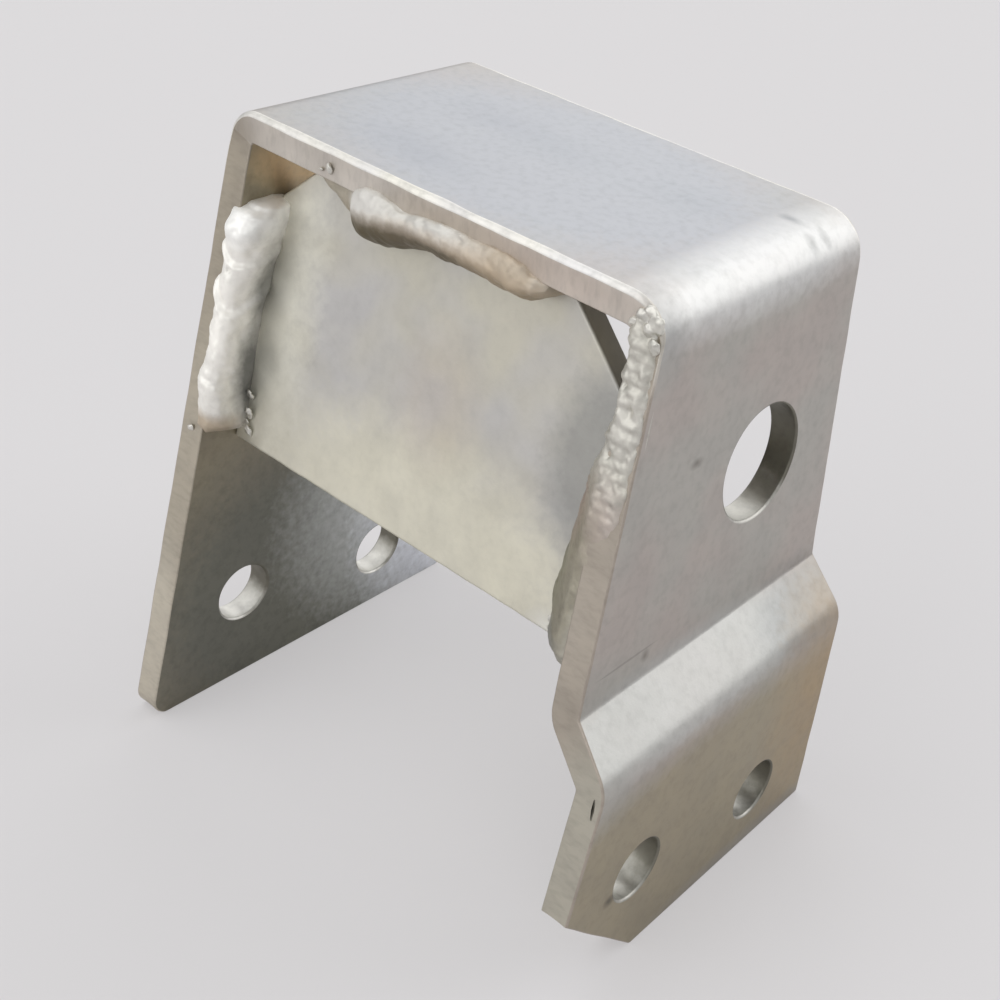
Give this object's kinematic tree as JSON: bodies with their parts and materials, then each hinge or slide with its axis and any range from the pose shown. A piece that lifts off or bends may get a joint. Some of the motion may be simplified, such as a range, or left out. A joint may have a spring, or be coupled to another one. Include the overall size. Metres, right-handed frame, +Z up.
{
  "type": "folded steel hanger bracket",
  "caption": "Galvanised steel plate folded into an inverted U with one joggled leg, stiffened by a welded web, with bolt holes through both legs.",
  "frame": {"origin": "middle of the top's flat upper face", "axes": "+X from the straight leg to the joggled leg, along the bolt holes; +Y from the legs' leaning front edges to their plumb back edges; +Z up, out of the top face"},
  "size_m": [0.1176, 0.0854, 0.132],
  "materials": {
    "strap_zinc": "hot-dip galvanised mild steel plate, weathered satin grey",
    "web_zinc": "hot-dip galvanised mild steel plate, mottled satin beige-grey",
    "weld_zinc": "rippled weld bead under hot-dip zinc"
  },
  "bodies": {
    "root": {"strap": "strap_zinc", "web_plate": "web_zinc", "straight_leg_weld": "weld_zinc", "top_weld": "weld_zinc", "joggled_leg_weld": "weld_zinc"}
  },
  "joints": []
}
